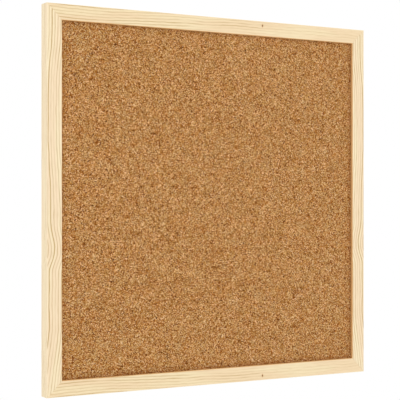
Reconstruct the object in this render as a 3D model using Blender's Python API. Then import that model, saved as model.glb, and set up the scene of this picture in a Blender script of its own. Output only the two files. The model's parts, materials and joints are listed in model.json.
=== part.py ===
"""Cork bulletin board in a mitred pine frame, hung on two strap hangers.

The origin is on the wall, behind the middle of the board. +X runs to the reader's right, +Y into the wall
and +Z up, so the cork faces -Y. Lengths are in metres.
"""

import math

import bmesh
import bpy
from mathutils import Vector

MM = 0.001
TOUCH_GAP = 0.3 * MM  # between two pieces that touch

# The whole board
BOARD_WIDTH = 600 * MM
BOARD_HEIGHT = 600 * MM
FRAME_DEPTH = 22 * MM
WALL_GAP = 5.5 * MM  # between the frame's back and the wall

# Frame moulding
MEMBER_WIDTH = 25 * MM
LIP_THICKNESS = 5.2 * MM
REBATE_WIDTH = 9 * MM
ARRIS = 0.8 * MM  # sanded edges
ARRIS_SEGMENTS = 2

# Panel, from the cork back
PANEL_PLAY = 1 * MM  # between the panel's edge and the rebate's wall
CORK_THICKNESS = 2.5 * MM
CORE_THICKNESS = 7 * MM
BACKING_THICKNESS = 2.5 * MM

# V-nails across the mitres
NAIL_LEG = 4.5 * MM
NAIL_THICKNESS = 0.6 * MM
NAIL_LENGTH = 10 * MM
NAIL_SUNK = 0.4 * MM
NAIL_INSETS = (4 * MM, 10 * MM)  # from the frame's outer edges to the point of the V

# Flexible points that hold the panel in
POINT_WIDTH = 6 * MM
POINT_THICKNESS = 0.5 * MM
POINT_IN_WOOD = 8 * MM
POINT_OVER_PANEL = 7.5 * MM
POINT_TIP = 2 * MM
POINT_SPACING = 180 * MM

# Strap hangers and D-rings
HANGER_DROP = 60 * MM  # from the frame's top edge down to the ring's pivot
HANGER_INSET = 10.2 * MM  # from the frame's side to the strap's centre line
STRAP_WIDTH = 10 * MM
STRAP_THICKNESS = 1 * MM
STRAP_LENGTH = 44 * MM  # from the pivot down to the round end
STRAP_CORNER = 4 * MM
CURL_BORE_RADIUS = 1.5 * MM
CURL_SWEEP = math.radians(285)
CURL_STEPS = 19
RING_WIRE_RADIUS = 1.1 * MM
RING_HALF_WIDTH = 7.5 * MM  # to the wire's centre
RING_CORNER = 2 * MM
RING_CORNER_STEPS = 4
RING_LEG = 3 * MM
RING_BOW_STEPS = 16
RING_WIRE_RESOLUTION = 2

# Pan-head screws
SCREW_DROPS = (20 * MM, 38 * MM)  # from the pivot down to each screw
SCREW_SHANK_RADIUS = 1.5 * MM
SCREW_LENGTH = 14 * MM
SCREW_TIP = 3 * MM
SCREW_HEAD_RADIUS = 3.2 * MM
SCREW_HEAD_HEIGHT = 2 * MM
SCREW_HEAD_EDGE = 0.5 * MM  # upright part of the head's side
SCREW_DOME_STEPS = 4
SCREW_RECESS_LENGTH = 3.4 * MM
SCREW_RECESS_WIDTH = 0.8 * MM
SCREW_RECESS_DEPTH = 1.1 * MM
SCREW_SIDES = 24
STRAP_HOLE_RADIUS = 2 * MM

# Rubber bumpers at the lower back corners
BUMPER_BASE_RADIUS = 6.5 * MM
BUMPER_FACE_RADIUS = 5.2 * MM
BUMPER_ROUNDING = 0.7 * MM
BUMPER_ROUNDING_STEPS = 3
BUMPER_RISE = 30 * MM  # from the frame's bottom edge
BUMPER_INSET = 8 * MM  # from the frame's side
BUMPER_SIDES = 32

# Planes that follow from the sizes above
HALF_WIDTH = BOARD_WIDTH / 2
HALF_HEIGHT = BOARD_HEIGHT / 2
FRAME_BACK = -WALL_GAP
FRAME_FRONT = FRAME_BACK - FRAME_DEPTH
LIP_BACK = FRAME_FRONT + LIP_THICKNESS
REBATE_INSET = MEMBER_WIDTH - REBATE_WIDTH  # from the frame's outer edge to the rebate's wall
PANEL_INSET = REBATE_INSET + PANEL_PLAY
CORK_FRONT = LIP_BACK + TOUCH_GAP
CORE_FRONT = CORK_FRONT + CORK_THICKNESS + TOUCH_GAP
BACKING_FRONT = CORE_FRONT + CORE_THICKNESS + TOUCH_GAP
POINT_FRONT = BACKING_FRONT + BACKING_THICKNESS + TOUCH_GAP
STRAP_BACK = FRAME_BACK + TOUCH_GAP
STRAP_FACE = STRAP_BACK + STRAP_THICKNESS
CURL_RADIUS = CURL_BORE_RADIUS + STRAP_THICKNESS
PIVOT_Y = STRAP_BACK + CURL_RADIUS
PIVOT_X = HALF_WIDTH - HANGER_INSET
PIVOT_Z = HALF_HEIGHT - HANGER_DROP

QUARTER_TURN = math.radians(90)
CUTTER_REACH = 1 * MM  # how far a cutter runs out of the face it opens
WELD = 0.01 * MM
ROUND_SIDE = math.radians(40)  # edges flatter than this are shaded smooth
STRAP_END_STEPS = 5


def clear_scene():
    """Removes whatever the scene holds."""
    for obj in list(bpy.data.objects):
        bpy.data.objects.remove(obj)


def make_material(name, colour, roughness, metallic=0.0):
    """A Principled material of one colour."""
    material = bpy.data.materials.new(name)
    material.use_nodes = True
    material.diffuse_color = (*colour, 1.0)
    shader = material.node_tree.nodes["Principled BSDF"]
    shader.inputs["Base Color"].default_value = (*colour, 1.0)
    shader.inputs["Roughness"].default_value = roughness
    shader.inputs["Metallic"].default_value = metallic
    return material


def add_object(name, data, material=None):
    """Links one named object to the scene."""
    obj = bpy.data.objects.new(name, data)
    bpy.context.scene.collection.objects.link(obj)
    if material:
        data.materials.append(material)
    return obj


def mesh_of(name, bm, smooth_angle=None):
    """Turns a bmesh into a mesh whose faces point out, with round sides smooth where an angle is given."""
    bmesh.ops.recalc_face_normals(bm, faces=bm.faces)
    mesh = bpy.data.meshes.new(name)
    bm.to_mesh(mesh)
    bm.free()
    if smooth_angle:
        mesh.shade_smooth()
        mesh.set_sharp_from_angle(angle=smooth_angle)
    return mesh


def prism(points, along):
    """A bmesh of the flat outline in points, extruded by the vector along."""
    bm = bmesh.new()
    face = bm.faces.new([bm.verts.new(point) for point in points])
    made = bmesh.ops.extrude_face_region(bm, geom=[face], use_keep_orig=True)
    moved = [item for item in made["geom"] if isinstance(item, bmesh.types.BMVert)]
    bmesh.ops.translate(bm, verts=moved, vec=along)
    return bm


def arc(centre, radius, start, end, steps):
    """Points along an arc, as pairs, from the angle start to the angle end."""
    points = []
    for step in range(steps + 1):
        angle = start + (end - start) * step / steps
        points.append((centre[0] + radius * math.cos(angle), centre[1] + radius * math.sin(angle)))
    return points


def block(size, centre):
    """A bmesh of a rectangular block."""
    bm = bmesh.new()
    bmesh.ops.create_cube(bm, size=1.0)
    bmesh.ops.scale(bm, vec=size, verts=bm.verts)
    bmesh.ops.translate(bm, vec=centre, verts=bm.verts)
    return bm


def turned(profile, sides):
    """A bmesh turned about the local Y axis from (radius, y) points that begin and end on the axis."""
    bm = bmesh.new()
    verts = [bm.verts.new((radius, y, 0)) for radius, y in profile]
    edges = [bm.edges.new(pair) for pair in zip(verts, verts[1:])]
    bmesh.ops.spin(
        bm,
        geom=verts + edges,
        axis=(0, 1, 0),
        cent=(0, 0, 0),
        steps=sides,
        angle=math.tau,
        use_merge=True,
    )
    bmesh.ops.remove_doubles(bm, verts=bm.verts, dist=WELD)
    return bm


def cut(obj, cutters):
    """Cuts each cutter out of obj. The cutters stay in the scene as guides."""
    for cutter in cutters:
        cutter.hide_render = True
        cutter.display_type = "WIRE"
        modifier = obj.modifiers.new(f"cut {cutter.name}", "BOOLEAN")
        modifier.operation = "DIFFERENCE"
        modifier.solver = "EXACT"
        modifier.object = cutter


def frame_member(name, turn, half_length, half_span, material):
    """One member, made as the top rail and then turned about Y to its side of the board.

    half_length is half the member's length. half_span is the distance from the board's centre to the member's
    outer edge.
    """
    start = -half_length - MEMBER_WIDTH
    inner = half_span - MEMBER_WIDTH
    rebate = half_span - REBATE_INSET
    outline = (
        (start, FRAME_BACK, half_span),
        (start, FRAME_FRONT, half_span),
        (start, FRAME_FRONT, inner),
        (start, LIP_BACK, inner),
        (start, LIP_BACK, rebate),
        (start, FRAME_BACK, rebate),
    )
    bm = prism(outline, (-2 * start, 0, 0))
    front_edges = [
        edge
        for edge in bm.edges
        if all(abs(vert.co.y - FRAME_FRONT) < TOUCH_GAP for vert in edge.verts)
        and abs(edge.verts[0].co.x - edge.verts[1].co.x) > MEMBER_WIDTH
    ]
    bmesh.ops.bevel(
        bm,
        geom=front_edges,
        offset=ARRIS,
        offset_type="OFFSET",
        segments=ARRIS_SEGMENTS,
        profile=0.5,
        affect="EDGES",
        material=-1,
    )
    for side in (-1, 1):
        outward = Vector((side, 0, -1)).normalized()
        corner = Vector((side * half_length, 0, half_span))
        made = bmesh.ops.bisect_plane(
            bm,
            geom=bm.verts[:] + bm.edges[:] + bm.faces[:],
            plane_co=corner - outward * TOUCH_GAP / 2,
            plane_no=outward,
            clear_outer=True,
        )
        rim = [item for item in made["geom_cut"] if isinstance(item, bmesh.types.BMEdge)]
        bmesh.ops.edgeloop_fill(bm, edges=rim)
    member = add_object(name, mesh_of(name, bm), material)
    member.rotation_euler.y = turn
    return member


def panel_layer(name, front, thickness, material):
    """One flat layer of the panel, with its front face at y = front."""
    size = (BOARD_WIDTH - 2 * PANEL_INSET, thickness, BOARD_HEIGHT - 2 * PANEL_INSET)
    centre = (0, front + thickness / 2, 0)
    return add_object(name, mesh_of(name, block(size, centre)), material)


def vee(name, grow, front, back, material=None):
    """A right-angled V with its point at the local origin, running from y = front to y = back."""
    far = -NAIL_LEG - grow
    inside = -NAIL_THICKNESS - grow
    outline = ((grow, grow), (far, grow), (far, inside), (inside, inside), (inside, far), (grow, far))
    bm = prism([(x, front, z) for x, z in outline], (0, back - front, 0))
    return add_object(name, mesh_of(name, bm), material)


def corner_nails(corner_name, turn, sign_x, sign_z, members, material):
    """Two V-nails across one mitre, and the pockets that they sit in."""
    nail_back = FRAME_BACK - NAIL_SUNK
    nail_front = nail_back - NAIL_LENGTH
    for number, inset in enumerate(NAIL_INSETS, start=1):
        place = (sign_x * (HALF_WIDTH - inset), 0, sign_z * (HALF_HEIGHT - inset))
        name = f"v_nail_{corner_name}_{number}"
        nail = vee(name, 0, nail_front, nail_back, material)
        pocket = vee(f"{name}_pocket", TOUCH_GAP, nail_front - TOUCH_GAP, FRAME_BACK + CUTTER_REACH)
        for obj in (nail, pocket):
            obj.location = place
            obj.rotation_euler.y = turn
        for member in members:
            cut(member, [pocket])


def panel_point(name, along, wall, material):
    """One flexible point: a pointed steel tongue, half in the wood and half over the panel's back."""
    half = POINT_WIDTH / 2
    tip = wall + POINT_IN_WOOD
    outline = (
        (along - half, wall - POINT_OVER_PANEL),
        (along + half, wall - POINT_OVER_PANEL),
        (along + half, tip - POINT_TIP),
        (along, tip),
        (along - half, tip - POINT_TIP),
    )
    bm = prism([(x, POINT_FRONT, z) for x, z in outline], (0, POINT_THICKNESS, 0))
    return add_object(name, mesh_of(name, bm), material)


def side_points(side_name, turn, half_span, member, material):
    """Three flexible points along one member, and the slots that they are shot into."""
    wall = half_span - REBATE_INSET
    slot_depth = POINT_IN_WOOD + TOUCH_GAP
    slot_size = (
        POINT_WIDTH + 2 * TOUCH_GAP,
        POINT_THICKNESS + 2 * TOUCH_GAP,
        slot_depth + CUTTER_REACH,
    )
    for number in (1, 2, 3):
        along = (number - 2) * POINT_SPACING
        name = f"panel_point_{side_name}_{number}"
        point = panel_point(name, along, wall, material)
        centre = (
            along,
            POINT_FRONT + POINT_THICKNESS / 2,
            wall + (slot_depth - CUTTER_REACH) / 2,
        )
        slot = add_object(f"{name}_slot", mesh_of(f"{name}_slot", block(slot_size, centre)))
        for obj in (point, slot):
            obj.rotation_euler.y = turn
        cut(member, [slot])


def strap(name, material):
    """A strap hanger with its pivot at the local origin: a flat strap whose top end is curled into an eye."""
    wood_side = -2 * QUARTER_TURN
    outside = arc((0, 0), CURL_RADIUS, wood_side, wood_side - CURL_SWEEP, CURL_STEPS)
    inside = arc((0, 0), CURL_BORE_RADIUS, wood_side - CURL_SWEEP, wood_side, CURL_STEPS)
    outline = [(-CURL_RADIUS, -STRAP_LENGTH), *outside, *inside, (-CURL_BORE_RADIUS, -STRAP_LENGTH)]
    bm = prism([(-STRAP_WIDTH / 2, y, z) for y, z in outline], (STRAP_WIDTH, 0, 0))
    end_corners = [
        edge
        for edge in bm.edges
        if all(vert.co.z < TOUCH_GAP - STRAP_LENGTH for vert in edge.verts)
        and abs(edge.verts[0].co.x - edge.verts[1].co.x) < TOUCH_GAP
    ]
    bmesh.ops.bevel(
        bm,
        geom=end_corners,
        offset=STRAP_CORNER,
        offset_type="OFFSET",
        segments=STRAP_END_STEPS,
        profile=0.5,
        affect="EDGES",
        material=-1,
    )
    return add_object(name, mesh_of(name, bm, ROUND_SIDE), material)


def ring_path():
    """The middle of the D-ring's wire, from the pivot bar round the bow, as (x, z) points."""
    bar_end = RING_HALF_WIDTH - RING_CORNER
    right = arc((bar_end, -RING_CORNER), RING_CORNER, QUARTER_TURN, 0, RING_CORNER_STEPS)
    bow_centre = (0, -RING_CORNER - RING_LEG)
    bow = arc(bow_centre, RING_HALF_WIDTH, 0, -2 * QUARTER_TURN, RING_BOW_STEPS)
    left = arc((-bar_end, -RING_CORNER), RING_CORNER, 2 * QUARTER_TURN, QUARTER_TURN, RING_CORNER_STEPS)
    return right + bow + left


def d_ring(name, material):
    """A D-ring that hangs from its pivot bar, which lies along X through the local origin."""
    curve = bpy.data.curves.new(name, "CURVE")
    curve.dimensions = "3D"
    curve.bevel_depth = RING_WIRE_RADIUS
    curve.bevel_resolution = RING_WIRE_RESOLUTION
    spline = curve.splines.new("POLY")
    path = ring_path()
    spline.points.add(len(path) - 1)
    for point, (x, z) in zip(spline.points, path):
        point.co = (x, 0, z, 1)
    spline.use_cyclic_u = True
    return add_object(name, curve, material)


def screw(name, material):
    """A pan-head screw along Y with the underside of its head at the local origin and a cross recess."""
    dome_height = SCREW_HEAD_HEIGHT - SCREW_HEAD_EDGE
    dome = arc((0, 0), 1, 0, QUARTER_TURN, SCREW_DOME_STEPS)
    profile = [
        (0, -SCREW_LENGTH),
        (SCREW_SHANK_RADIUS, SCREW_TIP - SCREW_LENGTH),
        (SCREW_SHANK_RADIUS, 0),
        (SCREW_HEAD_RADIUS, 0),
        *[(SCREW_HEAD_RADIUS * across, SCREW_HEAD_EDGE + dome_height * up) for across, up in dome],
    ]
    body = add_object(name, mesh_of(name, turned(profile, SCREW_SIDES), ROUND_SIDE), material)
    depth = SCREW_RECESS_DEPTH + CUTTER_REACH
    centre = (0, SCREW_HEAD_HEIGHT - SCREW_RECESS_DEPTH + depth / 2, 0)
    across = block((SCREW_RECESS_LENGTH, depth, SCREW_RECESS_WIDTH), centre)
    upright = block((SCREW_RECESS_WIDTH, depth, SCREW_RECESS_LENGTH), centre)
    slots = [
        add_object(f"{name}_recess_across", mesh_of(f"{name}_recess_across", across)),
        add_object(f"{name}_recess_upright", mesh_of(f"{name}_recess_upright", upright)),
    ]
    for slot in slots:
        slot.parent = body
    cut(body, slots)
    return body


def round_cutter(name, radius, front, back):
    """A cylinder along Y for cutting, from y = front to y = back."""
    bm = turned(((0, front), (radius, front), (radius, back), (0, back)), SCREW_SIDES)
    return add_object(name, mesh_of(name, bm))


def hanger(side_name, side, stile, steel, wire):
    """One strap hanger with its D-ring and screws, and the pilot holes in the stile."""
    pivot = bpy.data.objects.new(f"{side_name}_pivot", None)
    bpy.context.scene.collection.objects.link(pivot)
    pivot.location = (side * PIVOT_X, PIVOT_Y, PIVOT_Z)
    plate = strap(f"strap_hanger_{side_name}", steel)
    plate.parent = pivot
    d_ring(f"d_ring_{side_name}", wire).parent = pivot
    for number, drop in enumerate(SCREW_DROPS, start=1):
        name = f"hanger_screw_{side_name}_{number}"
        fixing = screw(name, steel)
        head_y = STRAP_FACE + TOUCH_GAP - PIVOT_Y
        fixing.location = (0, head_y, -drop)
        tip = head_y - SCREW_LENGTH - TOUCH_GAP
        hole = round_cutter(f"{name}_strap_hole", STRAP_HOLE_RADIUS, -CURL_RADIUS - CUTTER_REACH, 0)
        pilot = round_cutter(f"{name}_pilot", SCREW_SHANK_RADIUS + TOUCH_GAP, tip, CUTTER_REACH - CURL_RADIUS)
        for cutter in (hole, pilot):
            cutter.location = (0, 0, -drop)
        for obj in (fixing, hole, pilot):
            obj.parent = pivot
        cut(plate, [hole])
        cut(stile, [pilot])


def bumper(name, side, material):
    """A rubber bumper, wider at its base on the wood than at its face on the wall."""
    base = FRAME_BACK + TOUCH_GAP
    rounding_centre = (BUMPER_FACE_RADIUS - BUMPER_ROUNDING, -BUMPER_ROUNDING)
    rounding = arc(rounding_centre, BUMPER_ROUNDING, 0, QUARTER_TURN, BUMPER_ROUNDING_STEPS)
    profile = [(0, base), (BUMPER_BASE_RADIUS, base), *rounding, (0, 0)]
    obj = add_object(name, mesh_of(name, turned(profile, BUMPER_SIDES), ROUND_SIDE), material)
    obj.location = (side * (HALF_WIDTH - BUMPER_INSET), 0, BUMPER_RISE - HALF_HEIGHT)
    return obj


clear_scene()

pine = make_material("pine", (0.87, 0.72, 0.47), 0.55)
cork = make_material("cork", (0.45, 0.22, 0.075), 0.9)
softboard = make_material("softboard", (0.42, 0.31, 0.19), 0.95)
hardboard = make_material("hardboard", (0.19, 0.09, 0.035), 0.6)
bright_steel = make_material("bright_steel", (0.6, 0.6, 0.6), 0.35, 1.0)
zinc_steel = make_material("zinc_plated_steel", (0.66, 0.68, 0.7), 0.3, 1.0)
rubber = make_material("rubber", (0.03, 0.03, 0.03), 0.7)

top_rail = frame_member("frame_top_rail", 0, HALF_WIDTH, HALF_HEIGHT, pine)
right_stile = frame_member("frame_right_stile", QUARTER_TURN, HALF_HEIGHT, HALF_WIDTH, pine)
bottom_rail = frame_member("frame_bottom_rail", 2 * QUARTER_TURN, HALF_WIDTH, HALF_HEIGHT, pine)
left_stile = frame_member("frame_left_stile", 3 * QUARTER_TURN, HALF_HEIGHT, HALF_WIDTH, pine)

panel_layer("cork_sheet", CORK_FRONT, CORK_THICKNESS, cork)
panel_layer("softboard_core", CORE_FRONT, CORE_THICKNESS, softboard)
panel_layer("hardboard_back", BACKING_FRONT, BACKING_THICKNESS, hardboard)

corner_nails("top_right", 0, 1, 1, (top_rail, right_stile), bright_steel)
corner_nails("bottom_right", QUARTER_TURN, 1, -1, (right_stile, bottom_rail), bright_steel)
corner_nails("bottom_left", 2 * QUARTER_TURN, -1, -1, (bottom_rail, left_stile), bright_steel)
corner_nails("top_left", 3 * QUARTER_TURN, -1, 1, (left_stile, top_rail), bright_steel)

side_points("top", 0, HALF_HEIGHT, top_rail, bright_steel)
side_points("right", QUARTER_TURN, HALF_WIDTH, right_stile, bright_steel)
side_points("bottom", 2 * QUARTER_TURN, HALF_HEIGHT, bottom_rail, bright_steel)
side_points("left", 3 * QUARTER_TURN, HALF_WIDTH, left_stile, bright_steel)

hanger("left", -1, left_stile, zinc_steel, zinc_steel)
hanger("right", 1, right_stile, zinc_steel, zinc_steel)

bumper("wall_bumper_left", -1, rubber)
bumper("wall_bumper_right", 1, rubber)
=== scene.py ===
"""Dress and light the cork bulletin board: pine frame, cork, back panel and hanging hardware."""

import json
import logging
import math
from dataclasses import dataclass
from enum import Enum
from typing import Any, Sequence

import bmesh
import bpy
from mathutils import Matrix, Vector, noise


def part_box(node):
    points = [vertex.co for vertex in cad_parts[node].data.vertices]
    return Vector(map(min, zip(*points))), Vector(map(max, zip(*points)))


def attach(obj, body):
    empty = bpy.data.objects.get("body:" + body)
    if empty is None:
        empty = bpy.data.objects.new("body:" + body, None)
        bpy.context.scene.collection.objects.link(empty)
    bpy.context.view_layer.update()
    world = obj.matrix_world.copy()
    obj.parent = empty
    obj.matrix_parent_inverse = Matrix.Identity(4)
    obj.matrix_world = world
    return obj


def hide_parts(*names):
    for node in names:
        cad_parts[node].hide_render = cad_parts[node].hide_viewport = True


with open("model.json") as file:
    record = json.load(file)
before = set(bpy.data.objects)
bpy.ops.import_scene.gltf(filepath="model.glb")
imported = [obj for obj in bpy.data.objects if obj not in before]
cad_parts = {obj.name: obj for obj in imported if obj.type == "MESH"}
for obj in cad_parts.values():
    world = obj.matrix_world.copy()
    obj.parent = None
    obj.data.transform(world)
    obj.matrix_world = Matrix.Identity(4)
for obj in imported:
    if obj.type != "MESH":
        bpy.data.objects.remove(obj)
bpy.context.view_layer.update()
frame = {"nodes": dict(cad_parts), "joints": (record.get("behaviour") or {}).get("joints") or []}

LOG = logging.getLogger("cork_board")

MM = 0.001
QUARTER_TURN = math.radians(90)
WELD = 0.005 * MM
ROUND_SIDE = math.radians(40)  # edges flatter than this are shaded smooth
ROUND_STEPS = 8  # segments of a turned piece's rounded edge
WAVE_UNITS = 20  # the wave texture's own factor on a place, in radians
SEED_SPREAD = (1, 1.7, 0.6)  # of a seed along each axis, so that no two axes move alike

# Most of a noise pattern lies between 0.3 and 0.7. The narrower the band, the harder the edges it gives.
WHOLE_BAND, SOFT_BAND, FIRM_BAND, HARD_BAND = (0.3, 0.7), (0.35, 0.65), (0.4, 0.6), (0.45, 0.55)

BOARD, LEFT_RING, RIGHT_RING = "board", "left_ring", "right_ring"
LIP_SHADE_LAYER, ARRIS_WEAR_AND_LIGHT_LAYER = "lip", "arris"  # attributes that mark where painted shade, wear and painted light go on the moulding

Settings = dict[Any, Any]
Pair = tuple[float, float]
Waves = tuple[float, float, float]
Node = bpy.types.Node
Tree = bpy.types.NodeTree
Socket = bpy.types.NodeSocket
Look = bpy.types.Material
Piece = bpy.types.Object
BMesh = bmesh.types.BMesh
BMVert = bmesh.types.BMVert
BMEdge = bmesh.types.BMEdge


class Side(Enum):
    """A side of the board, counted in quarter turns about Y from the top."""

    TOP = 0
    RIGHT = 1
    BOTTOM = 2
    LEFT = 3

    @property
    def word(self) -> str:
        """The side's name as the nodes spell it."""
        return self.name.lower()

    @property
    def level(self) -> bool:
        """Whether the member on this side lies level."""
        return self.value % 2 == 0

    @property
    def member(self) -> str:
        """The node of the frame member on this side."""
        return f"frame_{self.word}_{'rail' if self.level else 'stile'}"

    @property
    def angle(self) -> float:
        """The turn about Y that brings a piece from the top side to this one."""
        return self.value * QUARTER_TURN


class Grain(Enum):
    """The row axis that a member's fibres run along, and the one across its face."""

    LEVEL = ("X", "Z")
    UPRIGHT = ("Z", "X")


# ---------------------------------------------------------------- materials


def linear(colour: str) -> tuple[float, float, float, float]:
    """Turns an sRGB hex colour into linear RGBA.

    Args:
        colour: The colour as "#RRGGBB".

    Returns:
        Linear red, green and blue, with an alpha of 1.
    """
    parts = [int(colour[start : start + 2], 16) / 255 for start in (1, 3, 5)]
    red, green, blue = (
        part / 12.92 if part <= 0.04045 else ((part + 0.055) / 1.055) ** 2.4 for part in parts
    )
    return (red, green, blue, 1.0)


def first_output(source: Node | Socket) -> Socket:
    """The socket itself, or a node's first output in use."""
    return source if isinstance(source, Socket) else next(out for out in source.outputs if out.enabled)


def add_node(tree: Tree, kind: str, settings: Settings | None = None, links: Settings | None = None) -> Node:
    """Adds one node with its settings and links.

    Args:
        tree: The node tree that gets the node.
        kind: The node's type, without the leading "ShaderNode".
        settings: Lower-case names set properties, and other names or numbers set input values. "stops" holds
            a colour ramp's stops as (place, colour) pairs.
        links: What to join to each input. A node stands for its first output in use.

    Returns:
        The new node.
    """
    node = tree.nodes.new(f"ShaderNode{kind}")
    for key, value in (settings or {}).items():
        if key == "stops":
            elements = node.color_ramp.elements
            while len(elements) < len(value):
                elements.new(1.0)
            for element, (place, colour) in zip(elements, value):
                element.position = place
                element.color = colour
        elif isinstance(key, str) and key.islower():
            setattr(node, key, value)
        else:
            node.inputs[key].default_value = value
    for key, source in (links or {}).items():
        tree.links.new(first_output(source), node.inputs[key])
    return node


def new_material(name: str, **sockets: Any) -> tuple[Look, Tree, Node]:
    """Makes a material with one Principled shader.

    Args:
        name: The material's name.
        sockets: Values for the shader's own sockets, with _ for each space in a socket's name.

    Returns:
        The material, its node tree and its shader.
    """
    material = bpy.data.materials.new(name)
    material.use_nodes = True
    shader = material.node_tree.nodes["Principled BSDF"]
    for socket, value in sockets.items():
        shader.inputs[socket.replace("_", " ")].default_value = value
    return material, material.node_tree, shader


def join_up(tree: Tree, shader: Node, **sources: Node) -> None:
    """Joins nodes to the shader's sockets, with _ for each space in a socket's name."""
    for socket, source in sources.items():
        tree.links.new(first_output(source), shader.inputs[socket.replace("_", " ")])


def smooth(low: float, high: float, start: float, end: float) -> Settings:
    """Gives a MapRange node's settings, to run smoothly from start to end.

    Args:
        low: The value at input 0 that gives start.
        high: The value at input 0 that gives end.
        start: The result at and before low.
        end: The result at and past high.

    Returns:
        The settings.
    """
    span = {"From Min": low, "From Max": high, "To Min": start, "To Max": end}
    return {"interpolation_type": "SMOOTHSTEP", **span}


def laid_over(colour: str) -> Settings:
    """A Mix node's settings, to lay a colour over input 6 by the amount at input 0."""
    return {"data_type": "RGBA", 7: linear(colour)}


def between(start: str, end: str) -> Settings:
    """A Mix node's settings, to go from one colour to another by the amount at input 0."""
    return {"data_type": "RGBA", 6: linear(start), 7: linear(end)}


@dataclass(frozen=True)
class Knot:
    """A pin knot: its place along and across the grain, and the radius of its dark heart, in metres."""

    along: float
    across: float
    radius: float = 1.0 * MM


@dataclass(frozen=True)
class Bend:
    """A stretch of grain that moves over: where it starts and ends along the member, and how far it moves."""

    start: float
    end: float
    shift: float


@dataclass(frozen=True)
class PineFinish:
    """Planed pine under a thin matt lacquer: pale earlywood with soft, wandering amber growth lines.

    Waves are counted per metre along the grain, in depth and across the face.
    """

    name: str
    grain: Grain
    seed: float
    flipped: bool = False  # cut from the same board as its opposite member, and turned end for end
    earlywood: str = "#F3DFB7"
    warm_earlywood: str = "#F1D8B1"
    latewood: str = "#BE9C62"
    # painted shade on the lip's inner wall, warm brown as with light thrown back from the cork
    lip_wall: str = "#DBA561"
    # wear and a painted highlight on the outer arris, and painted light on the outer side
    arris_wear_and_highlight: str = "#FBEAC8"
    mark_cover: float = 0.85  # of the lip wall's painted shade and of the arris's wear and painted light over the wood
    roughness: Pair = (0.62, 0.48)  # of earlywood and of the denser latewood
    relief: float = 0.12 * MM

    knots: tuple[Knot, ...] = ()
    knot_rim: str = "#D3A875"
    knot_heart: str = "#5E3A20"
    knot_oval: float = 0.6  # a pin knot's width over its height, where the saw met it at a slant
    rim_fade: Pair = (0.7, 2.6)  # where the rim starts and ends to fade, in knot radii
    heart_fade: Pair = (0.5, 1.2)
    swirl_spread: Pair = (14.0, 6.0)  # the swirl's reach along and across, in knot radii
    swirl_pull: float = 0.8  # how far the lines are drawn towards the knot

    bends: tuple[Bend, ...] = ()
    ring_spacing: float = 4.8 * MM
    ring_tilt: float = 0.9  # rings crossed in depth for each one crossed over the face
    wander: float = 3.6  # growth lines that the slow waves push a line over
    quick_share: float = 0.3  # of the wander, in the quick waves
    shiver: float = 0.25  # growth lines that the finest waves push a line over
    slow_waves: Waves = (4.2, 7, 7)
    quick_waves: Waves = (15, 16, 16)
    shiver_waves: Waves = (70, 160, 160)

    # How much latewood shows through one year: none in spring, full in late summer, and a sharp winter edge.
    year: tuple[Pair, ...] = ((0.0, 0.1), (0.22, 0.0), (0.56, 0.08), (0.82, 1.0), (1.0, 0.1))
    line_strength: float = 0.9
    weakest_year: float = 0.5  # of the strongest year's line
    faintest: float = 0.15  # of a line's strength, where it fades along the grain
    fading_waves: Waves = (9, 60, 60)
    fading_band: Pair = (0.32, 0.52)
    quiet: Pair | None = None  # the lines die down between these places along the member
    quiet_level: float = 0.35
    cloud_waves: Waves = (7, 90, 90)
    fibre_waves: float = 45.0  # along the grain
    fibre_width: float = 0.7 * MM  # real fibres are 0.03 mm wide, too fine to show
    fibre_band: Pair = (0.3, 0.75)
    fibre_shade: Pair = (-0.1, 0.2)  # latewood that pale and dark fibres add

    def build(self) -> Look:
        """Makes the material.

        Returns:
            The pine material, which reads the piece's Object coordinates and its lip and arris attributes.
        """
        material, tree, shader = new_material(self.name, Specular_IOR_Level=0.35)
        split = add_node(tree, "SeparateXYZ", links={0: add_node(tree, "TexCoord").outputs["Object"]})
        along, face = (split.outputs[axis] for axis in self.grain.value)
        sign = {"operation": "MULTIPLY", 1: -1 if self.flipped else 1}
        across = add_node(tree, "Math", sign, {0: face})
        bent, knots = self._knots(tree, along, across)
        for bend in self.bends:
            moved = add_node(tree, "MapRange", smooth(bend.start, bend.end, 0, bend.shift), {0: along})
            bent = add_node(tree, "Math", {"operation": "SUBTRACT"}, {0: bent, 1: moved})
        log_space = add_node(tree, "CombineXYZ", links={0: along, 1: split.outputs["Y"], 2: bent})

        latewood = self._growth_lines(tree, log_space, bent, split.outputs["Y"])
        if self.quiet:
            hush = add_node(tree, "MapRange", smooth(*self.quiet, 1, self.quiet_level), {0: along})
            latewood = add_node(tree, "Math", {"operation": "MULTIPLY"}, {0: latewood, 1: hush})
        fine = 1 / self.fibre_width
        fibre = self._pattern(tree, log_space, (self.fibre_waves, fine, fine), 2.0)
        streak = add_node(tree, "MapRange", smooth(*self.fibre_band, *self.fibre_shade), {0: fibre})
        amber = add_node(tree, "Math", {"operation": "ADD", "use_clamp": True}, {0: latewood, 1: streak})
        clouds = self._pattern(tree, log_space, self.cloud_waves, 1.0)
        warmth = add_node(tree, "MapRange", smooth(*FIRM_BAND, 0, 1), {0: clouds})
        base = add_node(tree, "Mix", between(self.earlywood, self.warm_earlywood), {0: warmth})
        colour = add_node(tree, "Mix", laid_over(self.latewood), {0: amber, 6: base})
        for mask, tone in knots:
            colour = add_node(tree, "Mix", laid_over(tone), {0: mask, 6: colour})
        # paints shade on the lip's inner wall, and wear with painted light on the outer arris and side
        for layer, tone in ((LIP_SHADE_LAYER, self.lip_wall), (ARRIS_WEAR_AND_LIGHT_LAYER, self.arris_wear_and_highlight)):
            mark = add_node(tree, "Attribute", {"attribute_name": layer}).outputs["Fac"]
            mask = add_node(tree, "MapRange", smooth(0, 1, 0, self.mark_cover), {0: mark})
            colour = add_node(tree, "Mix", laid_over(tone), {0: mask, 6: colour})

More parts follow.
